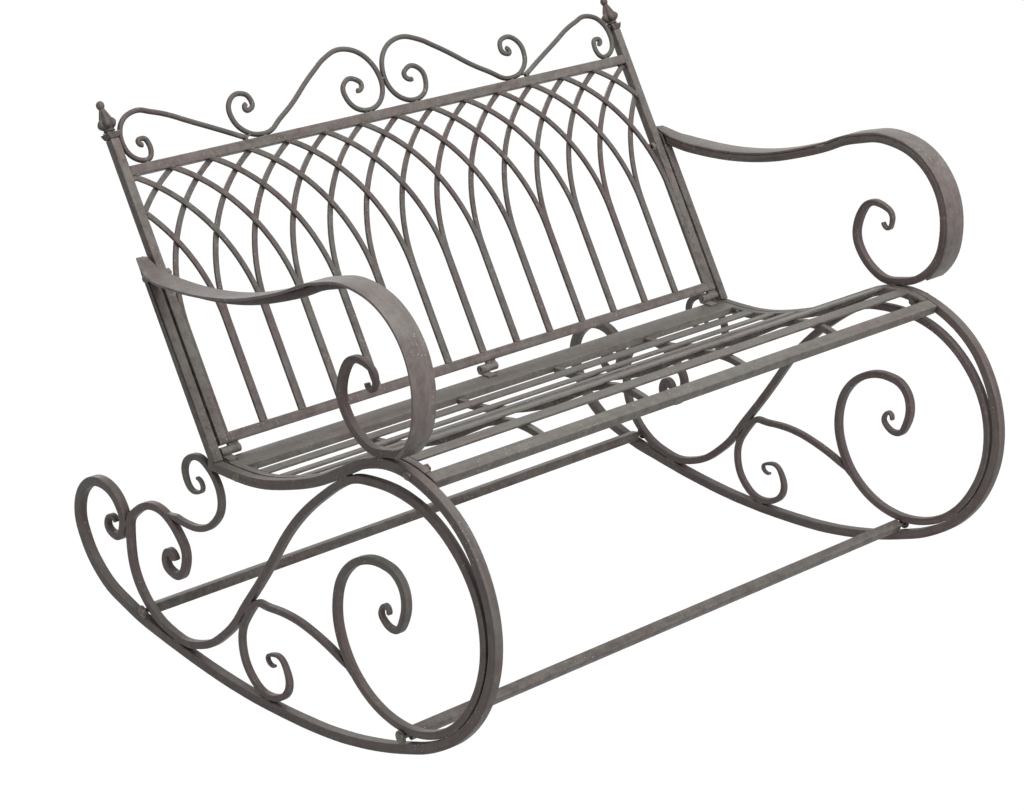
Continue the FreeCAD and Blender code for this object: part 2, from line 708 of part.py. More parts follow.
def arch_point(foot_x, sign, reach):
    """Node of an arch at a sideways distance from its foot."""
    angle = math.acos(1 - reach / arch_radius)
    height = spring + arch_radius * math.sin(angle)
    return foot_x + sign * reach, height, 90 - sign * math.degrees(angle)


def arch_loop(index, sign):
    """Outline of one lattice bar that leans to a side, -1 left or 1 right, cut at the uprights."""
    foot_x = -back_inner + index * pitch + sign * foot_shift
    room = back_inner - GAP - sign * foot_x
    outside = -(back_inner - GAP) - sign * foot_x
    reach, cut = arch_reach, 0
    if room < arch_reach - pitch / 2:
        reach, cut = room, 90
    elif room < arch_reach:
        reach, cut = room - 1.6 * lattice_half, None
    if outside > 0:
        nodes = [arch_point(foot_x, sign, outside)]
        first_cut = 90
    else:
        nodes = [(foot_x, bottom_top + GAP, 90), (foot_x, spring, 90)]
        first_cut = 0
    nodes.append(arch_point(foot_x, sign, (reach + max(outside, 0)) / 2))
    nodes.append(arch_point(foot_x, sign, reach))
    return Path(nodes, lattice_half, end_cuts=(first_cut, cut)).outline()


LAYERS = (("front", -1, range(1, bays + 2)), ("rear", 1, range(-1, bays)))
for label, sign, feet in LAYERS:
    layer = plate(f"lattice_{label}_layer", "XY_Plane", [arch_loop(index, sign) for index in feet],
                  "dims.lattice_depth", symmetric=False, reverse=True)
    setback = size("lattice_depth") + GAP if label == "rear" else 0
    layer.Placement = back_placement(0, 0, back_bar / 2 - setback)
    node(f"lattice_{label}_layer", layer)

# Crest scrolls of round rod that stand on the top rail; left half, as x and height above the rail.
CREST_SPAN = 503
rod = size("crest_rod") / 2
crest_floor = top_rail + back_bar + rod + GAP
crest_wall = -(back_inner - rod - GAP) + 2
CREST_OUTER = (
    (-465, 22.8), (-470, 27.8), (-461, 31.8), (-453.5, 17.8), (-467, 0, 180), (-488, 8.8),
    ("wall", 32.8, 90), (-486, 60.8), (-457.5, 73.3), (-427, 65.8), (-358, 34.8), (-291, 2),
)
CREST_INNER = (
    (-266, 48.8), (-270, 42.8), (-258, 41.8), (-256, 57.8), (-273, 66.8), (-295, 54.8), (-297, 26.8),
    (-279, 6.3), (-252, 0, 0), (-206, 21.8), (-123, 76.8), (-98.5, 91.3), (-62, 101.3), (-21.5, 84.8),
    ("middle", 42.8, -90), (-17, 12.3), (-47, 0, 180), (-79, 18.8), (-78, 45.8), (-57, 52.8),
    (-45, 37.8), (-56, 32.8),
)


def crest_node(x, height, *heading):
    """Node of a crest scroll of the left half, fitted to the width of the back."""
    places = {"wall": crest_wall, "middle": -rod - GAP}
    return places.get(x) or x * back_inner / CREST_SPAN, crest_floor + height, *heading


def crest(name, points, sign):
    """Round rod bent in the plane of the back."""
    nodes = [crest_node(*point) for point in points]
    if sign > 0:
        nodes = [(-x, rise, *(180 - angle for angle in heading)) for x, rise, *heading in nodes]
    path = Path(nodes, rod)
    spine = doc.addObject("Sketcher::SketchObject", f"{name}_spine")
    edges = [arc_edge(arc) for arc in path.arcs]
    spine.addGeometry(edges)
    section = doc.addObject("Part::Circle", f"{name}_section")
    section.setExpression("Radius", "dims.crest_rod / 2")
    heading = turned(path.headings[0])
    section.Placement = FreeCAD.Placement(
        plane_point(path.points[0]), FreeCAD.Rotation(Z_AXIS, Vector(heading[0], heading[1], 0)))
    doc.recompute()
    sweep = doc.addObject("Part::Sweep", name)
    sweep.Sections = [section]
    sweep.Spine = (spine, [f"Edge{k + 1}" for k in range(len(edges))])
    sweep.Solid = True
    sweep.Transition = "Right corner"
    sweep.Placement = back_placement()
    return node(name, sweep)


for side, sign in SIDES:
    crest(f"crest_outer_{side}", CREST_OUTER, sign)
    crest(f"crest_inner_{side}", CREST_INNER, sign)

# Hinges: the left half of each barrel is on the seat, the right half on the back.
hinge_reach = back_inner - size("hinge_inset")
LEAF = 2.5
HINGE_HALF = "dims.hinge_length / 2 - dims.weld_gap"
seat_knuckles, back_knuckles, pins = [], [], []
for index, x in enumerate((-hinge_reach, 0, hinge_reach), start=1):
    start = x - size("hinge_length") / 2
    near_half = along_x(start, hinge_y, hinge_z, 1)
    barrel = cylinder(f"seat_barrel_{index}", "dims.hinge_radius", HINGE_HALF, near_half)
    leaf = doc.addObject("Part::Box", f"seat_leaf_{index}")
    expression(leaf, Length=HINGE_HALF, Width="dims.rear_rail_depth / 2")
    leaf.Height = LEAF
    leaf.Placement.Base = Vector(start, hinge_y - size("rear_rail_depth") / 2, seat_z + GAP)
    web = doc.addObject("Part::Box", f"seat_web_{index}")
    expression(web, Length=HINGE_HALF, Width="dims.hinge_radius")
    web.Height = hinge_z - hinge_radius / 2 - seat_z - GAP
    web.Placement.Base = Vector(start, hinge_y - hinge_radius / 2, seat_z + GAP)
    knuckle = fuse(f"seat_knuckle_solid_{index}", [barrel, leaf, web])
    seat_knuckles.append(ring(
        f"seat_knuckle_{index}", knuckle, "dims.pin_radius + dims.weld_gap / 2", HINGE_HALF, near_half))
    other = x + GAP
    far_half = along_x(other, hinge_y, hinge_z, 1)
    barrel = cylinder(f"back_barrel_{index}", "dims.hinge_radius", HINGE_HALF, far_half)
    stem = doc.addObject("Part::Box", f"back_stem_{index}")
    expression(stem, Length=HINGE_HALF, Width="dims.bottom_rail_rise - dims.hinge_radius / 2 - dims.weld_gap",
               Height="dims.hinge_radius")
    stem.Placement = back_placement(other, hinge_radius / 2, -hinge_radius / 2)
    knuckle = fuse(f"back_knuckle_solid_{index}", [barrel, stem])
    back_knuckles.append(ring(
        f"back_knuckle_{index}", knuckle, "dims.pin_radius + dims.pin_play", HINGE_HALF, far_half))
    pins.append(cylinder(f"hinge_pin_{index}", "dims.pin_radius", "dims.hinge_length + 2",
                         along_x(start - 1, hinge_y, hinge_z, 1)))
group("hinge_seat_knuckles", seat_knuckles)
group("hinge_back_knuckles", back_knuckles)
group("hinge_pins", pins)

# Back lock bolts, drawn backed out so that the back is free to fold.
lock_bolts, lock_nuts = [], []
for side, sign in SIDES:
    outer_face = along_x(sign * (FRAME_X + post_half), lock_y, lock_z, sign)
    lock_bolts.append(domed_bolt(f"back_lock_bolt_{side}", outer_face, "dims.post_bar"))
    inner_face = along_x(sign * (back_inner - GAP / 2), lock_y, lock_z, -sign)
    lock_nuts.append(hex_nut(f"back_lock_nut_{side}", inner_face))
group("back_lock_bolts", lock_bolts)
group("back_lock_nuts", lock_nuts)

doc.recompute()
faults = []
for thing in doc.Objects:
    if "Invalid" in thing.State or "Error" in thing.State:
        faults.append(f"{thing.Label}: {thing.State}")
for thing in NODES:
    if thing.Shape.isNull() or not thing.Shape.isValid() or not thing.Shape.Solids:
        faults.append(f"{thing.Label}: no valid solid")
if faults:
    raise RuntimeError("; ".join(faults))
for thing in NODES:
    thing.Shape.exportStep(f"parts/{thing.Label}.step")
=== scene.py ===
"""Looks of the rocking garden bench: brown antique paint with a grey-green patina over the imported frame.

Metres, in the frame of the part: X along the bench, Y to the back and Z up. The sections of the bent bars,
the rows of the finial and the places on the leaning back are in millimetres.
"""
import json
import math

import bmesh
import bpy
from mathutils import Matrix, Vector, noise
from mathutils.bvhtree import BVHTree


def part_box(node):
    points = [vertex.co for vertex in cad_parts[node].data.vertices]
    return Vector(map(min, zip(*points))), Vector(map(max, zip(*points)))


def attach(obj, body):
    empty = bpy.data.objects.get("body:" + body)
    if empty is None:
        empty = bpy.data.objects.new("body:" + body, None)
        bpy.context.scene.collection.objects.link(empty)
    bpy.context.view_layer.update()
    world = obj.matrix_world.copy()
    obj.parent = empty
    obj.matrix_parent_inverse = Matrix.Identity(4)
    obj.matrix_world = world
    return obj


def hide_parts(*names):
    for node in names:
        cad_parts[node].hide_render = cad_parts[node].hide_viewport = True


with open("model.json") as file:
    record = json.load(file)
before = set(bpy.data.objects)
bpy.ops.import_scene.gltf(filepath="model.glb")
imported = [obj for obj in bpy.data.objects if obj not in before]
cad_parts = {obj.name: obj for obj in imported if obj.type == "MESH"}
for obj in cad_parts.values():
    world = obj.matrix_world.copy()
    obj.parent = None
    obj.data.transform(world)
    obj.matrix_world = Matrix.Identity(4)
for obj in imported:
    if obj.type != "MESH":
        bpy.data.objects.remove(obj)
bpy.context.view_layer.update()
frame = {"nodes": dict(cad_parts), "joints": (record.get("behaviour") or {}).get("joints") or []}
nodes = frame["nodes"]
MM = 1000
SIDES = (("left", -1), ("right", 1))
X_AXIS = Vector((1, 0, 0))
HINGE = Vector(frame["joints"][0]["pos_m"])
LEAN = math.radians(30)
BACK_UP = Vector((0, math.sin(LEAN), math.cos(LEAN)))
BACK_FRONT = Vector((0, -math.cos(LEAN), math.sin(LEAN)))


def linear(red, green, blue):
    """Linear colour from the three values of a screen colour, each from 0 to 255."""
    def channel(value):
        value /= 255
        return value / 12.92 if value <= 0.04045 else ((value + 0.055) / 1.055) ** 2.4
    return channel(red), channel(green), channel(blue), 1


MAUVE = linear(101, 87, 86)
SAGE = linear(104, 102, 97)
# Dark brown of the brush marks, also used for painted shade
UMBER = linear(40, 32, 30)
# Pale colour of rubbed paint, also used for a painted highlight along edges
RUBBED_AND_HIGHLIGHT = linear(164, 158, 150)
PALE = linear(134, 127, 122)
# Pale colour of the painted highlight on upward faces
TOP_HIGHLIGHT = linear(140, 138, 130)
BRASS = linear(108, 102, 82)
BRONZE_DARK = linear(74, 66, 62)
BRONZE_PALE = linear(112, 107, 97)

# Scale of the brush marks on a forged bar: along it, then twice across
BAR_GRAIN = (9, 190, 190)
# Reach of the painted shade in crevices of painted and of bare pieces
PAINT_SHADE_REACH, METAL_SHADE_REACH = 0.02, 0.006


class Shader:
    """A material under construction."""

    def __init__(self, name):
        self.material = bpy.data.materials.new(name)
        self.material.use_nodes = True
        self.tree = self.material.node_tree
        self.surface = self.tree.nodes["Principled BSDF"]

    def set(self, node, **sockets):
        """Link or set a node's inputs, by name with _ for a space, or by place as i and a number."""
        for key, value in sockets.items():
            by_place = key[0] == "i" and key[1:].isdigit()
            socket = node.inputs[int(key[1:]) if by_place else key.replace("_", " ")]
            if isinstance(value, bpy.types.NodeSocket):
                self.tree.links.new(value, socket)
            else:
                socket.default_value = value
        return node

    def node(self, kind, settings=None, **sockets):
        """New node of a kind, with its settings and inputs."""
        made = self.tree.nodes.new(f"ShaderNode{kind}")
        for key, value in (settings or {}).items():
            setattr(made, key, value)
        return self.set(made, **sockets)

    def noise(self, vector, scale, detail=3.0, roughness=0.55):
        """Noise from 0 to 1."""
        made = self.node("TexNoise", Vector=vector, Scale=scale, Detail=detail, Roughness=roughness)
        return made.outputs["Fac"]

    def span(self, value, low, high, to_low=0.0, to_high=1.0):
        """The value's stretch from low to high, mapped to another one."""
        made = self.node("MapRange", {"clamp": True}, Value=value, From_Min=low, From_Max=high, To_Min=to_low,
                         To_Max=to_high)
        return made.outputs["Result"]

    def product(self, first, second):
        """Two values multiplied."""
        return self.node("Math", {"operation": "MULTIPLY"}, i0=first, i1=second).outputs["Value"]

    def mix(self, share, first, second):
        """The first colour with a share of the second over it."""
        return self.node("Mix", {"data_type": "RGBA"}, i0=share, i6=first, i7=second).outputs[2]

    def crevices(self, colour, reach):
        """The colour, darkened by painted shade where other surfaces are within reach."""
        shade = self.node("AmbientOcclusion", {"samples": 3}, Distance=reach).outputs["AO"]
        return self.mix(self.span(shade, 0.8, 0.3, 0, 0.8), colour, UMBER)


def brush_marks(shader, place, grain, tilt):
    """Noise drawn out along the brush marks: by the grain, or along a forged bar where there is none."""
    if grain:
        along = shader.node("Mapping", Vector=place, Rotation=(tilt, 0, 0), Scale=grain)
    else:
        run = shader.node("Attribute", {"attribute_name": "run"}).outputs["Vector"]
        along = shader.node("Mapping", Vector=run, Scale=BAR_GRAIN)
    return shader.noise(along.outputs["Vector"], 1, 4, 0.6)


def brushed_colour(shader, place, brush, blotch, warm, streak, deep):
    """Patches of mauve and sage under pale and dark brush marks, with a few brassy blotches."""
    drift = shader.noise(place, 8, 4, 0.6)
    middle = 0.5 + 0.3 * (warm - 0.5)
    colour = shader.mix(shader.span(drift, middle - 0.11, middle + 0.11), MAUVE, SAGE)
    colour = shader.mix(shader.span(brush, 0.5, 0.72, 0, 0.8 * streak), colour, PALE)
    colour = shader.mix(shader.span(brush, 0.48 + deep, 0.3, 0, streak), colour, UMBER)
    return shader.mix(shader.span(blotch, 0.62, 0.78, 0, 0.25), colour, BRASS)


def painted_light_and_shade(shader, normal, colour, sides):
    """The colour with painted shade on the sides, below and in crevices, and a painted highlight on top."""
    facing = shader.node("SeparateXYZ", Vector=normal).outputs
    # Painted shade on faces that look along the bench
    sideways = shader.product(facing["X"], facing["X"])
    colour = shader.mix(shader.span(sideways, 0.3, 0.9, 0, sides), colour, UMBER)
    # Painted shade on faces that look down
    colour = shader.mix(shader.span(facing["Z"], 0.05, -0.75, 0, 0.6), colour, UMBER)
    # Painted highlight on faces that look up
    colour = shader.mix(shader.span(facing["Z"], 0.55, 1.0, 0, 0.22), colour, TOP_HIGHLIGHT)
    # Painted shade where other surfaces are near
    return shader.crevices(colour, PAINT_SHADE_REACH)


def rubbed_and_highlit_colour(shader, place, blotch, colour, edge_rub_and_highlight):
    """The colour, rubbed off and with a painted highlight along edges, and rubbed off in scattered specks."""
    # Pale edges: partly rubbed paint, partly a painted highlight where edges catch the light
    convex = shader.node("NewGeometry").outputs["Pointiness"]
    edge = shader.product(shader.span(convex, 0.51, 0.58), shader.span(blotch, 0.38, 0.6, 0.2, edge_rub_and_highlight))
    colour = shader.mix(edge, colour, RUBBED_AND_HIGHLIGHT)
    speck = shader.node("TexVoronoi", Vector=place, Scale=170.0).outputs["Distance"]
    scatter = shader.span(shader.noise(place, 21, 2), 0.52, 0.6)
    return shader.mix(shader.product(shader.span(speck, 0.22, 0.14), scatter), colour, RUBBED_AND_HIGHLIGHT)


def relief(shader, place, brush):
    """Hammer marks, brush marks and fine grain, as one normal."""
    layers = (
        # height, strength, depth
        (shader.noise(place, 60, 2, 0.5), 0.4, 0.001),
        (brush, 0.3, 0.0003),
        (shader.noise(place, 850, 2, 0.6), 0.3, 0.0002),
    )
    below = {}
    for height, strength, depth in layers:
        bump = shader.node("Bump", Strength=strength, Distance=depth, Height=height, **below)
        below = {"Normal": bump.outputs["Normal"]}
    return below["Normal"]


def paint(name, warm, grain=(40, 40, 40), tilt=0.0, edge_rub_and_highlight=0.6, streak=0.5, shine=0.22, deep=0.0, sides=0.0):
    """Antique paint.

    warm is the share of mauve brown. grain is the scale of the brush marks along each axis, turned by tilt,
    streak their strength and deep how far the dark ones spread. wear is the rub and painted highlight along
    edges, sides the painted shade on faces that look along the bench, and shine the gloss.
    """
    shader = Shader(name)
    coordinates = shader.node("TexCoord").outputs
    place = coordinates["Object"]
    brush = brush_marks(shader, place, grain, tilt)
    blotch = shader.noise(place, 60, 3, 0.7)
    colour = brushed_colour(shader, place, brush, blotch, warm, streak, deep)
    # Painted shade on the sides, below and in crevices, and a painted highlight on top
    colour = painted_light_and_shade(shader, coordinates["Normal"], colour, sides)
    # Rubbed paint and a painted highlight along edges, and rubbed specks
    colour = rubbed_and_highlit_colour(shader, place, blotch, colour, edge_rub_and_highlight)
    rough = shader.span(brush, 0.3, 0.75, 0.38, 0.56)
    normal = relief(shader, place, brush)
    shader.set(shader.surface, Base_Color=colour, Roughness=rough, Normal=normal, Specular_IOR_Level=shine)
    return shader.material


def bare_metal(name):
    """Dark bronzed steel of the bolts, nuts and pins."""
    shader = Shader(name)
    place = shader.node("TexCoord").outputs["Object"]
    drift = shader.noise(place, 160, 4, 0.65)
    colour = shader.mix(shader.span(drift, 0.35, 0.65), BRONZE_DARK, BRONZE_PALE)
    # Painted shade where other surfaces are near
    colour = shader.crevices(colour, METAL_SHADE_REACH)
    rough = shader.span(drift, 0.3, 0.7, 0.3, 0.5)
    fine = shader.noise(place, 900, 3, 0.6)
    bump = shader.node("Bump", Strength=0.4, Distance=0.0003, Height=fine).outputs["Normal"]
    shader.set(shader.surface, Base_Color=colour, Roughness=rough, Normal=bump, Metallic=0.6)
    return shader.material


PAINTS = {
    "frame": paint("frame_paint_small", 0.6, (70, 70, 70), streak=0.35),
    "forged": paint("frame_paint_scrolls", 0.75, None, streak=0.45),
    "strap": paint("frame_paint_strap", 0.95, (150, 22, 22), edge_rub_and_highlight=0.75, streak=0.4, shine=0.5, deep=0.1),
    "along": paint("frame_paint_rails", 0.75, (5, 150, 150)),
    "stretcher": paint("frame_paint_stretchers", 0.7, (5, 150, 150), streak=0.62, deep=0.36),
    "rod": paint("frame_paint_crest", 0.35, (40, 40, 40), streak=0.15),
    "seat": paint("frame_paint_seat", 0.35, (5, 170, 170)),
    # sides puts painted shade on the faces of the back that look along the bench
    "back": paint("frame_paint_back", 0.6, (140, 140, 7), -LEAN, streak=0.45, sides=0.45),
    "hardware": bare_metal("hardware_bronze"),
}
# Paint by the start of a node's name; the first that fits holds
PAINT_OF = (
    ("arm_strap", "strap"), ("arm_bar", "strap"),
    ("seat_slat", "seat"), ("seat_support", "seat"), ("seat_side_rail", "frame"), ("seat_front_rail", "seat"),
    ("seat_rear_rail", "seat"), ("seat_", "hardware"),
    ("back_post", "back"), ("back_upright", "back"), ("lattice", "back"), ("back_lock_nuts", "back"),
    ("back_lock", "hardware"), ("back_", "along"), ("crest", "rod"),
    ("stretcher_", "hardware"), ("front_stretcher", "stretcher"), ("rear_stretcher", "stretcher"),
    ("hinge_pins", "hardware"), ("", "frame"),
)
# Width of the rounded edges, found the same way
EDGE_WIDTHS = (
    ("lattice", 0.0009), ("seat_slat", 0.0007), ("arm_strap", 0.0008), ("crest", 0), ("finial", 0),
    ("stretcher_", 0), ("seat_bolts", 0), ("seat_nuts", 0), ("back_lock", 0), ("hinge_", 0), ("mid_", 0.0013),
    ("rear_scroll", 0.0013), ("seat_support", 0.0012), ("", 0.0016),
)
SAME_POINT = 1e-6
SHARP_EDGE = math.radians(40)
EDGE_SEGMENTS = 3


def first_match(table, name):
    """Value of the first row whose start fits the name."""
    return next(value for start, value in table if name.startswith(start))


def soften(piece, width):
    """Round the sharp edges of a frame piece; its own mesh stays as it is."""
    weld = piece.modifiers.new("weld", "WELD")
    weld.merge_threshold = SAME_POINT
    bevel = piece.modifiers.new("edges", "BEVEL")
    bevel.width = width
    bevel.segments = EDGE_SEGMENTS
    bevel.limit_method = "ANGLE"
    bevel.angle_limit = SHARP_EDGE
    bevel.use_clamp_overlap = False
    bevel.harden_normals = True


def finish_mesh(data, material):
    """Smooth faces in one material."""
    data.materials.clear()
    data.materials.append(material)
    for face in data.polygons:
        face.use_smooth = True


for name, piece in nodes.items():
    finish_mesh(piece.data, PAINTS[first_match(PAINT_OF, name)])
    edge_width = first_match(EDGE_WIDTHS, name)
    if edge_width:
        soften(piece, edge_width)


def add_object(name, data):
    """New object in the scene."""
    made = bpy.data.objects.new(name, data)
    bpy.context.scene.collection.objects.link(made)
    return made


def piece_from(name, mesh, body, material):
    """New smooth piece of the bench that rides on a body."""
    bmesh.ops.recalc_face_normals(mesh, faces=mesh.faces)
    data = bpy.data.meshes.new(name)
    mesh.to_mesh(data)
    mesh.free()
    finish_mesh(data, material)
    piece = add_object(name, data)
    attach(piece, body)
    return piece


def skin(mesh, rings):
    """Closed skin over rings of points that have the same count."""
    made = [[mesh.verts.new(point) for point in ring] for ring in rings]
    for low, high in zip(made, made[1:]):
        for k in range(len(low)):
            following = (k + 1) % len(low)
            mesh.faces.new((low[k], low[following], high[following], high[k]))
    mesh.faces.new(made[0][::-1])
    mesh.faces.new(made[-1])


def around(count):
    """Angles of a full turn in equal steps."""
    return [2 * math.pi * k / count for k in range(count)]


BENT_BARS = ("rocker", "main_scroll", "mid_scroll", "rear_scroll", "arm_bar")
# A face of a bent bar's cap looks along X by more than this share
CAP_FACING = 0.99
# Longest step between sections
STATION = 8
# How far ahead the other side of a bar is looked for: steps of this side, and a length
LOOK_STEPS, LOOK_AHEAD = 3, 30
# An end wider than this many times the bar is cut at a slant
# Other sections stay away from such an end by this many halves of the bar
SLANT, SLANT_CLEAR = 1.02, 2.4
# An end narrower than this share of the bar is a tip, which thins over its run to shares of the bar
TIP_SHARE, TIP_RUN, TIP_THICKNESS, TIP_WIDTH = 0.9, 120, 0.42, 0.7
# Radius of the long edges, the most of it as a share of half the bar's thickness, and its steps
CORNER, CORNER_SHARE, CORNER_STEPS = 1.7, 0.45, 3
# Steps outward and sizes of the sections that round an end, as shares of half the bar
END_ROUNDS = ((0.22, 0.93), (0.36, 0.76))
# Depth of the hammered waves as a share of the bar, and their length
WAVE, WAVE_LENGTH = 0.02, 35
# Bars whose last end is drawn out onto another bar: reach of its near and far corners, and how deep they sink
DRAWN_OUT = {"rear_scroll": "main_scroll"}
SCARF_NEAR, SCARF_FAR, SCARF_SINK = 10, 20, 1


def cap_rim(name):
    """Longest rim of a node's faces that look along +X: (Y, Z) points in millimetres."""
    mesh = bmesh.new()
    mesh.from_mesh(nodes[name].data)
    bmesh.ops.remove_doubles(mesh, verts=mesh.verts, dist=SAME_POINT)
    following = {}
    for face in mesh.faces:
        for loop in face.loops:
            if face.normal.x > CAP_FACING > loop.link_loop_radial_next.face.normal.x:
                following[loop.vert] = loop.link_loop_next.vert
    rims = []
    while following:
        rim = [next(iter(following))]
        while rim[-1] in following:
            rim.append(following.pop(rim[-1]))
        rims.append([vertex.co.yz * MM for vertex in rim[1:]])
    mesh.free()
    return max(rims, key=len)


def bar_sides(name):
    """The two long sides of a bent bar's rim, from its narrower end, parted at its four sharpest corners."""
    rim = cap_rim(name)
    count = len(rim)

    def turn(k):
        return (rim[k] - rim[k - 1]).angle(rim[(k + 1) % count] - rim[k])

    corners = sorted(range(count), key=turn)[-4:]
    first = next(k for k in corners if (k - 1) % count in corners)
    last = sorted((k - first) % count for k in corners)[1]
    in_turn = rim[first:] + rim[:first]
    sides = [in_turn[:last + 1], in_turn[:last:-1]]
    if (sides[0][0] - sides[1][0]).length > (sides[0][-1] - sides[1][-1]).length:
        sides = [side[::-1] for side in sides]
    return sides


def across_from(point, side, segment, reach):
    """Nearest point of a side, looked for over a reach from one of its segments, and the segment it is on."""
    best, seen = None, 0
    for k in range(segment, len(side) - 1):
        run = side[k + 1] - side[k]
        share = (point - side[k]).dot(run) / run.length_squared
        foot = side[k] + run * min(1, max(0, share))
        gap = (foot - point).length
        if best is None or gap < best[0]:
            best = gap, foot, k
        seen += run.length
        if seen > reach:
            break
    return best[1:]


def bar_stations(name, half):
    """(distance, centre, half of the way across) along a bent bar."""
    left, right = bar_sides(name)
    pairs, segment = [(left[0], right[0])], 0
    for before, point in zip(left, left[1:-1]):
        foot, segment = across_from(point, right, segment, LOOK_STEPS * (point - before).length + LOOK_AHEAD)
        pairs.append((point, foot))
    end = left[-1], right[-1]
    if (end[0] - end[1]).length > 2 * SLANT * half:
        end_middle = (end[0] + end[1]) / 2
        pairs = [pair for pair in pairs if ((pair[0] + pair[1]) / 2 - end_middle).length > SLANT_CLEAR * half]
    pairs.append(end)
    stations, reached = [], 0
    for start, stop in zip(pairs, pairs[1:]):
        step = (stop[0] + stop[1] - start[0] - start[1]).length / 2
        count = math.ceil(step / STATION)
        for k in range(count + (stop is end)):
            one, other = (a.lerp(b, k / count) for a, b in zip(start, stop))
            stations.append((reached + step * k / count, (one + other) / 2, (one - other) / 2))
        reached += step
    return stations


def drawn_out(stations, seat):
    """The stations, and one more where the end lies on the outline of the bar that it is welded to."""
    distance, centre, way_across = stations[-1]
    ahead = (centre - stations[-2][1]).normalized()
    seat_sides = bar_sides(seat)
    corners = [centre + way_across, centre - way_across]
    gaps = [min((point - corner).length for side in seat_sides for point in side) for corner in corners]
    landed = []
    for corner, gap in zip(corners, gaps):
        aim = corner + ahead * (SCARF_NEAR if gap == min(gaps) else SCARF_FAR)
        feet = [across_from(aim, side, 0, math.inf)[0] for side in seat_sides]
        foot = min(feet, key=lambda point: (point - aim).length)
        landed.append(foot + (foot - aim).normalized() * SCARF_SINK)
    middle = (landed[0] + landed[1]) / 2
    return stations + [(distance + (middle - centre).length, middle, (landed[0] - landed[1]) / 2)]


def bar_ring(half_x, half_n, corner):
    """Rounded rectangle: offsets along X and across the bar."""
    ring = []
    for quarter, (sx, sn) in enumerate(((1, 1), (-1, 1), (-1, -1), (1, -1))):
        for k in range(CORNER_STEPS + 1):
            angle = math.pi / 2 * (quarter + k / CORNER_STEPS)
            ring.append((sx * (half_x - corner) + corner * math.cos(angle),
                         sn * (half_n - corner) + corner * math.sin(angle)))
    return ring


def rounded_end(row, inner_row):
    """Smaller sections that round an end over, from the end outward."""
    distance, centre, across, half_x, half_n = row
    outward = (centre - inner_row[1]).normalized()
    return [(distance, centre + outward * half_n * out, across, half_x * share, half_n * share)
            for out, share in END_ROUNDS]


def bar_rows(stations, half, sign):
    """Sections of a forged bar: (distance, centre, direction across, half along X, half across)."""
    length = stations[-1][0]
    end_widths = [stations[index][2].length for index in (0, -1)]
    tips = [width < TIP_SHARE * half for width in end_widths]
    rows = []
    for distance, centre, way_across in stations:
        taper = max(tip * max(0, 1 - gap / TIP_RUN) for tip, gap in zip(tips, (distance, length - distance)))
        taper = taper * taper * (3 - 2 * taper)
        wavy_half = half * (1 - WAVE * (1 + noise.noise(Vector((distance / WAVE_LENGTH, half, sign)))))
        rows.append((distance, centre, way_across.normalized(), wavy_half * (1 + (TIP_WIDTH - 1) * taper),
                     wavy_half * (1 + (TIP_THICKNESS - 1) * taper)))
    start = rounded_end(rows[0], rows[1])[::-1]
    if end_widths[1] > SLANT * half:
        rows[-1] = (*rows[-1][:4], end_widths[1])
        return start + rows
    return start + rows + rounded_end(rows[-1], rows[-2])


def forged_bar(kind, side, sign):
    """Bent square bar with tapered, rounded tips and the slight waviness of hand forging."""
    node_name = f"{kind}_{side}"
    low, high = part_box(node_name)
    middle_x, half = (low.x + high.x) / 2 * MM, (high.x - low.x) / 2 * MM
    stations = bar_stations(node_name, half)
    if kind in DRAWN_OUT:
        stations = drawn_out(stations, f"{DRAWN_OUT[kind]}_{side}")
    mesh = bmesh.new()
    run = mesh.verts.layers.float_vector.new("run")
    rings, runs = [], []
    for distance, centre, across, half_x, half_n in bar_rows(stations, half, sign):
        ring = bar_ring(half_x, half_n, min(CORNER, CORNER_SHARE * half_n))
        spots = [centre + across * n for _, n in ring]
        rings.append([Vector((middle_x + x, *spot)) / MM for (x, _), spot in zip(ring, spots)])
        runs += [Vector((distance, x, n)) / MM for x, n in ring]
    skin(mesh, rings)
    mesh.verts.ensure_lookup_table()
    for vertex, value in zip(mesh.verts, runs):
        vertex[run] = value
    made = piece_from(f"{kind}_forged_{side}", mesh, "base", PAINTS["forged"])
    made.modifiers.new("flat_faces", "WEIGHTED_NORMAL")
    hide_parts(node_name)


for side, sign in SIDES:
    for kind in BENT_BARS:
        forged_bar(kind, side, sign)

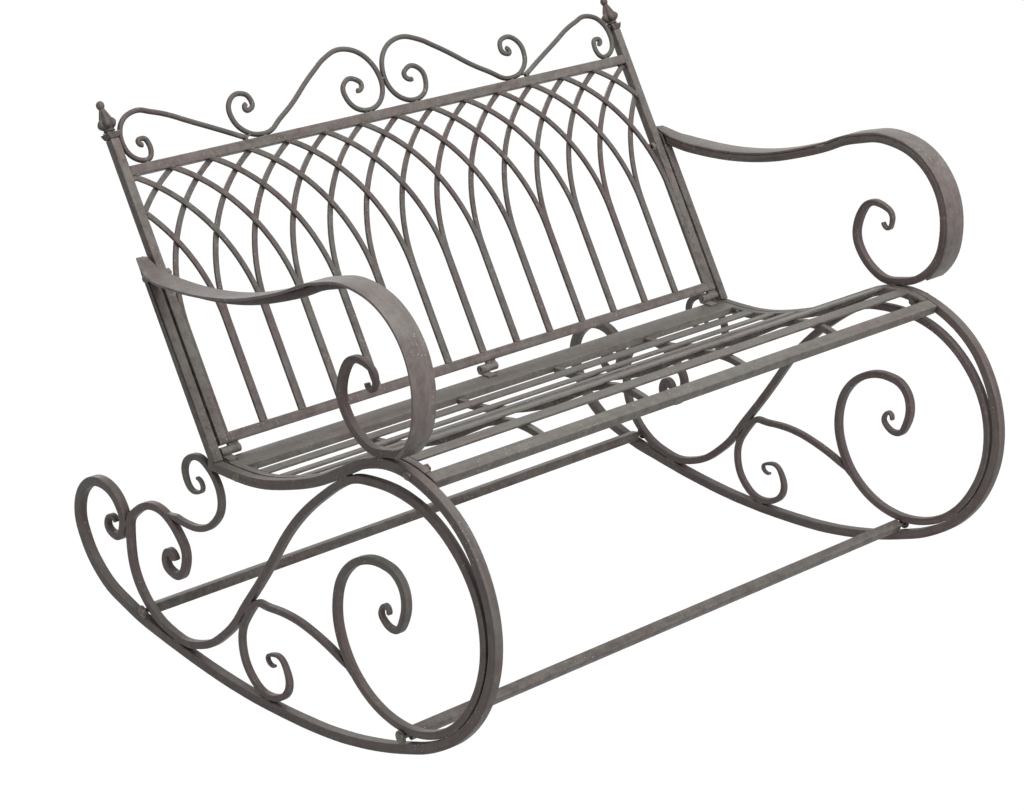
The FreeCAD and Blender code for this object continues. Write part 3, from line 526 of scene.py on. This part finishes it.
FINIAL_SECTIONS = (
    # lobe count, then rows of height, radius, lobe depth and squareness
    # leafy collar, square at its foot
    (8, ((0.0, 7.7, 0, 1.0), (1.0, 8.0, 0, 1.0), (2.4, 8.9, 0.06, 0.9), (4.4, 10.4, 0.16, 0.75),
         (6.6, 11.8, 0.26, 0.6), (8.4, 12.6, 0.34, 0.5), (9.0, 11.6, 0.34, 0.45), (8.0, 9.4, 0.18, 0.3),
         (8.4, 7.8, 0.06, 0.1))),
    # neck ring
    (0, ((10.0, 6.9, 0, 0), (11.0, 7.2, 0, 0), (11.7, 8.6, 0, 0), (12.6, 9.0, 0, 0), (13.4, 8.4, 0, 0))),
    # bulb
    (6, ((14.0, 7.2, 0.06, 0), (15.4, 8.8, 0.16, 0), (17.6, 12.2, 0.26, 0), (20.6, 14.8, 0.3, 0),
         (23.8, 15.4, 0.31, 0), (26.8, 14.2, 0.3, 0), (29.2, 11.8, 0.24, 0), (30.4, 9.8, 0.14, 0))),
    # cone
    (6, ((31.0, 9.9, 0.2, 0), (33.0, 9.4, 0.24, 0), (36.0, 8.2, 0.24, 0), (39.0, 7.0, 0.2, 0),
         (42.0, 5.8, 0.14, 0), (44.4, 4.6, 0.06, 0))),
    # ball
    (0, ((45.4, 4.0, 0, 0), (46.4, 4.9, 0, 0), (48.4, 5.9, 0, 0), (51.4, 6.3, 0, 0), (54.2, 5.6, 0, 0),
         (56.4, 3.9, 0, 0), (57.7, 1.6, 0, 0))),
)
FINIAL_TURN = 64
# Below this height the lobes are leaves, whose tips rise by this much for each unit of lobe depth
LEAF_TOP, LEAF_LIFT = 9, 1.5 / 0.26


def finial_ring(foot, lobes, height, radius, depth, square):
    """Ring of the finial's skin."""
    ring = []
    for angle in around(FINIAL_TURN):
        corner = 1 / max(abs(math.cos(angle)), abs(math.sin(angle)))
        lobe = abs(math.cos(lobes * angle / 2))
        reach = radius * (1 + square * (corner - 1)) * (1 - depth * (1 - lobe))
        lift = LEAF_LIFT * depth * lobe if height < LEAF_TOP else 0
        out = X_AXIS * math.cos(angle) + BACK_FRONT * math.sin(angle)
        ring.append(foot + (out * reach + BACK_UP * (height + lift)) / MM)
    return ring


def finial(side):
    """Cast finial with a pointed square collar, lobed bulb, leafy cone and ball."""
    upright = f"back_upright_{side}"
    low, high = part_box(upright)
    foot = HINGE + BACK_UP * max((vertex.co - HINGE).dot(BACK_UP) for vertex in nodes[upright].data.vertices)
    foot.x = (low.x + high.x) / 2
    mesh = bmesh.new()
    skin(mesh, [finial_ring(foot, lobes, *row) for lobes, rows in FINIAL_SECTIONS for row in rows])
    made = piece_from(f"finial_cast_{side}", mesh, "backrest", PAINTS["frame"])
    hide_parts(f"finial_{side}")
    smooth = made.modifiers.new("smooth", "SUBSURF")
    smooth.levels = smooth.render_levels = 1


for side, _ in SIDES:
    finial(side)


def surface_tree(name):
    """Search tree of a node's surface."""
    data = nodes[name].data
    corners = [vertex.co for vertex in data.vertices]
    return BVHTree.FromPolygons(corners, [face.vertices for face in data.polygons])


TREES = {name: surface_tree(name) for name in nodes}
# Widest gap of a contact, step of the search along edges, and gap that parts two contacts
TOUCH, STEP, CLUSTER = 0.0006, 0.002, 0.016


def edge_points(data):
    """Points along the edges of a mesh."""
    for edge in data.edges:
        start, end = (data.vertices[k].co for k in edge.vertices)
        count = max(1, math.ceil((end - start).length / STEP))
        for k in range(count + 1):
            yield start.lerp(end, k / count)


def contacts(first, second):
    """Groups of points where two nodes touch, one group for each place."""
    low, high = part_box(second)
    touching = []
    for point in edge_points(nodes[first].data):
        if all(low[axis] - TOUCH <= point[axis] <= high[axis] + TOUCH for axis in range(3)):
            found = TREES[second].find_nearest(point, TOUCH)[0]
            if found is not None:
                touching.append((point + found) / 2)
    groups = []
    for point in sorted(touching, key=lambda spot: tuple(round(value, 5) for value in spot)):
        near = [group for group in groups if any((point - other).length < CLUSTER for other in group)]
        merged = [point] + [other for group in near for other in group]
        groups = [group for group in groups if group not in near] + [merged]
    return groups


def extent(group, direction):
    """Middle and half length of a group of points along a direction."""
    values = [point.dot(direction) for point in group]
    return (max(values) + min(values)) / 2, (max(values) - min(values)) / 2


def middle_of(group):
    """Mean of a group of points."""
    return sum(group, Vector()) / len(group)


BEAD_STEPS, BEAD_TURN = 12, 12
# Least size of a bead's ends, its ripples and their depth, and its unevenness along it and in depth
BEAD_END, RIPPLES, RIPPLE_DEPTH, UNEVEN_RATE, UNEVEN_DEPTH = 0.02, 9, 0.12, 2.1, 0.16


def bead(mesh, centre, along, out, size, seed):
    """One rippled weld bead of a length, width and height, half sunk in the metal."""
    length, width, height = size
    across = out.cross(along).normalized()
    rings = []
    for i in range(BEAD_STEPS + 1):
        t = -1 + 2 * i / BEAD_STEPS
        swell = math.sqrt(max(BEAD_END, 1 - t * t)) * (1 + RIPPLE_DEPTH * math.sin(RIPPLES * t + seed))
        ring = []
        for angle in around(BEAD_TURN):
            spot = Vector((t * UNEVEN_RATE + seed, math.cos(angle), math.sin(angle)))
            reach = swell * (1 + UNEVEN_DEPTH * noise.noise(spot))
            offset = across * math.cos(angle) * width / 2 + out * math.sin(angle) * height
            ring.append(centre + along * (t * length / 2) + offset * reach)
        rings.append(ring)
    skin(mesh, rings)


FRAME_PAIRS = (
    ("main_scroll", "rocker"), ("mid_scroll", "rocker"), ("mid_scroll", "main_scroll"),
    ("rear_scroll", "rocker"), ("rear_scroll", "main_scroll"), ("arm_bar", "rocker"), ("back_post", "rocker"),
)
# Beads of a side frame: share of the contact's length, then their shortest and longest
FRAME_BEAD_SHARE, FRAME_BEAD_SHORT, FRAME_BEAD_LONG = 0.8, 0.011, 0.03
# How wide and high they are, and how deep they sink
FRAME_BEAD_WIDTH, FRAME_BEAD_HEIGHT, FRAME_BEAD_SINK = 0.0042, 0.0014, 0.0008
# Each bead's own ripples come from its place: their change over a metre
FRAME_SEED, BACK_SEED = 90, 70


def run_direction(group, middle):
    """Direction in the plane of a side frame along which a group of points is longest."""
    spread = [point - middle for point in group]
    yy = sum(point.y * point.y for point in spread)
    zz = sum(point.z * point.z for point in spread)
    yz = sum(point.y * point.z for point in spread)
    angle = 0.5 * math.atan2(2 * yz, yy - zz)
    return Vector((0, math.cos(angle), math.sin(angle)))


def frame_beads(side):
    """Short beads in the crevices of a side frame, on both of its faces."""
    mesh = bmesh.new()
    for first, second in FRAME_PAIRS:
        for index, group in enumerate(contacts(f"{first}_{side}", f"{second}_{side}")):
            middle = middle_of(group)
            along = run_direction(group, middle)
            length = 2 * extent(group, along)[1] * FRAME_BEAD_SHARE
            length = min(FRAME_BEAD_LONG, max(FRAME_BEAD_SHORT, length))
            size = length, FRAME_BEAD_WIDTH, FRAME_BEAD_HEIGHT
            face_x, half_x = extent(group, X_AXIS)
            for sign in (-1, 1):
                centre = Vector((face_x + sign * (half_x - FRAME_BEAD_SINK), middle.y, middle.z))
                bead(mesh, centre, along, X_AXIS * sign, size, middle.y * FRAME_SEED + index + sign)
    piece_from(f"frame_welds_{side}", mesh, "base", PAINTS["frame"])


LATTICE_LAYERS = ("lattice_front_layer", "lattice_rear_layer")
LATTICE_SEATS = ("back_top_rail", "back_bottom_rail", "back_upright_left", "back_upright_right")
BACK_PAIRS = [(layer, seat) for seat in LATTICE_SEATS for layer in LATTICE_LAYERS]
BACK_PAIRS.append(("crest_inner_left", "crest_inner_right"))
for side, _ in SIDES:
    BACK_PAIRS += [
        (f"crest_outer_{side}", "back_top_rail"), (f"crest_inner_{side}", "back_top_rail"),
        (f"crest_outer_{side}", f"crest_inner_{side}"), (f"crest_outer_{side}", f"back_upright_{side}"),
    ]
# Length, width and height of beads on the back, and how far those of a round rod lie from its middle
LATTICE_BEAD = (0.008, 0.0036, 0.0011)
CREST_BEAD = (0.008, 0.0036, 0.0016)
CREST_BEAD_OUT = 0.0028


def back_beads():
    """Small lumps where the lattice and the crest meet the rails of the back, in front and behind."""
    mesh = bmesh.new()
    for first, second in BACK_PAIRS:
        for index, group in enumerate(contacts(first, second)):
            middle = middle_of(group)
            if first.startswith("crest"):
                size, shift, reach = CREST_BEAD, 0, CREST_BEAD_OUT
            else:
                face, reach = extent(group, BACK_FRONT)
                size, shift = LATTICE_BEAD, face - middle.dot(BACK_FRONT)
            for sign in (-1, 1):
                centre = middle + BACK_FRONT * (shift + sign * reach)
                bead(mesh, centre, X_AXIS, BACK_FRONT * sign, size, middle.x * BACK_SEED + index + sign)
    piece_from("back_welds", mesh, "backrest", PAINTS["back"])


# Sections of a round bar: place along it and size
ROUND_BAR_ROWS = ((0, 1), (0.3, 1), (0.8, 1), (0.93, 0.96), (1, 0.8))
ROUND_BAR_TURN = 24


def round_bar(mesh, start, end, radius, end_radius):
    """Round bar on the back with a slightly rounded end."""
    across = (end - start).normalized().cross(BACK_FRONT).normalized()
    rings = []
    for share, size in ROUND_BAR_ROWS:
        centre, reach = start.lerp(end, share), (radius + (end_radius - radius) * share) * size
        rings.append([centre + (across * math.cos(angle) + BACK_FRONT * math.sin(angle)) * reach
                      for angle in around(ROUND_BAR_TURN)])
    skin(mesh, rings)


def back_point(x, rise, forward=0.0):
    """Point of the leaning back from millimetres: x, height up the back and distance forward."""
    point = HINGE + (BACK_UP * rise + BACK_FRONT * forward) / MM
    return Vector((x / MM, point.y, point.z))


# Places on the right half of the back, as x and height: the tail of the crest's outer scroll, the beads at
# its end, and the end of the highest arch at the upright, which lies further forward on the left
TAIL_START, TAIL_END = (297, 436), (284.5, 430.9)
TAIL_RADIUS, TAIL_END_RADIUS = 0.004, 0.0039
TAIL_BEADS = ((288, 428.6), (281, 433.4))
TAIL_BEAD_FORWARD = 2.5
TAIL_BEAD = (0.007, 0.0036, 0.0016)
ARCH_END = (499.5, 408)
ARCH_FORWARD = {"left": 5, "right": -0.2}
ARCH_BEAD = (0.0095, 0.0085, 0.0026)


def rail_ends(side, sign):
    """Tail of the crest's outer scroll and end of the highest arch, with the lumps of weld that hold them."""
    mesh = bmesh.new()
    start, end = (back_point(sign * x, rise) for x, rise in (TAIL_START, TAIL_END))
    round_bar(mesh, start, end, TAIL_RADIUS, TAIL_END_RADIUS)
    for x, rise in TAIL_BEADS:
        for face, seed in ((1, x), (-1, x + 3)):
            centre = back_point(sign * x, rise, face * TAIL_BEAD_FORWARD)
            bead(mesh, centre, X_AXIS, BACK_FRONT * face, TAIL_BEAD, seed)
    arch_x, arch_rise = ARCH_END
    for face, seed in ((1, sign), (-1, sign + 2)):
        centre = back_point(sign * arch_x, arch_rise, ARCH_FORWARD[side])
        bead(mesh, centre, X_AXIS, BACK_FRONT * face, ARCH_BEAD, seed)
    piece_from(f"crest_tail_{side}", mesh, "backrest", PAINTS["frame"])


for side, sign in SIDES:
    frame_beads(side)
    rail_ends(side, sign)
back_beads()

# Camera at the photograph's place: metres, radians, and the focal length in pixels of an image 1024 wide
CAMERA_PLACE = Vector((-2.68876, -2.73312, 1.77150))
AZIMUTH, ELEVATION, ROLL = -0.765309, 0.359843, -0.0043167
FOCAL_PIXELS, IMAGE_WIDTH = 2714.27, 1024
SENSOR_WIDTH = 36
FARTHEST = 60


def photo_camera():
    """Camera that sees the bench as the photograph does."""
    backward = Vector((math.sin(AZIMUTH) * math.cos(ELEVATION), -math.cos(AZIMUTH) * math.cos(ELEVATION),
                       math.sin(ELEVATION)))
    level = Vector((math.cos(AZIMUTH), math.sin(AZIMUTH), 0))
    upward = backward.cross(level)
    right = level * math.cos(ROLL) - upward * math.sin(ROLL)
    up = upward * math.cos(ROLL) + level * math.sin(ROLL)
    lens = bpy.data.cameras.new("photo_camera")
    lens.sensor_fit = "HORIZONTAL"
    lens.sensor_width = SENSOR_WIDTH
    lens.lens = FOCAL_PIXELS * SENSOR_WIDTH / IMAGE_WIDTH
    lens.clip_end = FARTHEST
    camera = add_object("photo_camera", lens)
    turned = Matrix((right, up, backward)).transposed().to_4x4()
    camera.matrix_world = Matrix.Translation(CAMERA_PLACE) @ turned
    bpy.context.scene.camera = camera


def seen_share(tree):
    """1 for rays that show the background itself: camera, glossy and transmission rays."""
    path = tree.nodes.new("ShaderNodeLightPath")
    total = path.outputs["Is Camera Ray"]
    for output in ("Is Glossy Ray", "Is Transmission Ray"):
        both = tree.nodes.new("ShaderNodeMath")
        both.operation = "MAXIMUM"
        tree.links.new(total, both.inputs[0])
        tree.links.new(path.outputs[output], both.inputs[1])
        total = both.outputs["Value"]
    return total


WHITE = (1, 1, 1, 1)
FILL_LIGHT = 0.13
# Half the floor's side and its drop below the bench, its grey and roughness, its glow and the glow's share
FLOOR_HALF, FLOOR_DROP = 14, 0.0005
FLOOR_GREY, FLOOR_ROUGHNESS = (0.6, 0.6, 0.6, 1), 0.95
FLOOR_GLOW, FLOOR_GLOW_SHARE = 1.11, 0.88


def studio_world():
    """White background, and a dim even light on the bench."""
    world = bpy.data.worlds.new("studio")
    bpy.context.scene.world = world
    world.use_nodes = True
    tree = world.node_tree
    sky = tree.nodes["Background"]
    sky.inputs["Color"].default_value = WHITE
    strength = tree.nodes.new("ShaderNodeMapRange")
    strength.inputs["To Min"].default_value = FILL_LIGHT
    tree.links.new(seen_share(tree), strength.inputs["Value"])
    tree.links.new(strength.outputs["Result"], sky.inputs["Strength"])


def floor_paint():
    """Matte floor that looks nearly white and keeps the shadow of the bench."""
    material = bpy.data.materials.new("floor_white")
    material.use_nodes = True
    tree = material.node_tree
    matte = tree.nodes["Principled BSDF"]
    matte.inputs["Base Color"].default_value = FLOOR_GREY
    matte.inputs["Roughness"].default_value = FLOOR_ROUGHNESS
    glow = tree.nodes.new("ShaderNodeEmission")
    glow.inputs["Strength"].default_value = FLOOR_GLOW
    share = tree.nodes.new("ShaderNodeMapRange")
    share.inputs["To Max"].default_value = FLOOR_GLOW_SHARE
    blend = tree.nodes.new("ShaderNodeMixShader")
    tree.links.new(seen_share(tree), share.inputs["Value"])
    tree.links.new(share.outputs["Result"], blend.inputs["Fac"])
    tree.links.new(matte.outputs["BSDF"], blend.inputs[1])
    tree.links.new(glow.outputs["Emission"], blend.inputs[2])
    tree.links.new(blend.outputs["Shader"], tree.nodes["Material Output"].inputs["Surface"])
    return material


def studio_floor():
    """Plain pale floor."""
    data = bpy.data.meshes.new("floor")
    corners = [(x * FLOOR_HALF, y * FLOOR_HALF, 0) for x, y in ((-1, -1), (1, -1), (1, 1), (-1, 1))]
    data.from_pydata(corners, [], [(0, 1, 2, 3)])
    data.materials.append(floor_paint())
    floor = add_object("floor", data)
    floor.location.z = -FLOOR_DROP


LAMPS = (
    # name, place, watts, size
    ("top", (-0.1, -1.0, 3.2), 58, 2.0),
    ("front", (-1.4, -4.3, 2.4), 70, 1.6),
    ("side", (3.2, -1.2, 1.9), 9, 1.6),
    ("rear", (0.9, 4.3, 2.0), 55, 2.0),
)
LAMP_TARGET = Vector((0, 0, 0.4))


def studio_lamp(name, place, watts, size):
    """Square soft lamp that points at the bench."""
    light = bpy.data.lights.new(f"lamp_{name}", "AREA")
    light.energy = watts
    light.size = size
    lamp = add_object(f"lamp_{name}", light)
    lamp.location = place
    lamp.rotation_mode = "QUATERNION"
    lamp.rotation_quaternion = (LAMP_TARGET - lamp.location).to_track_quat("-Z", "Y")


photo_camera()
studio_world()
studio_floor()
for lamp_row in LAMPS:
    studio_lamp(*lamp_row)
bpy.context.scene.view_settings.view_transform = "Standard"
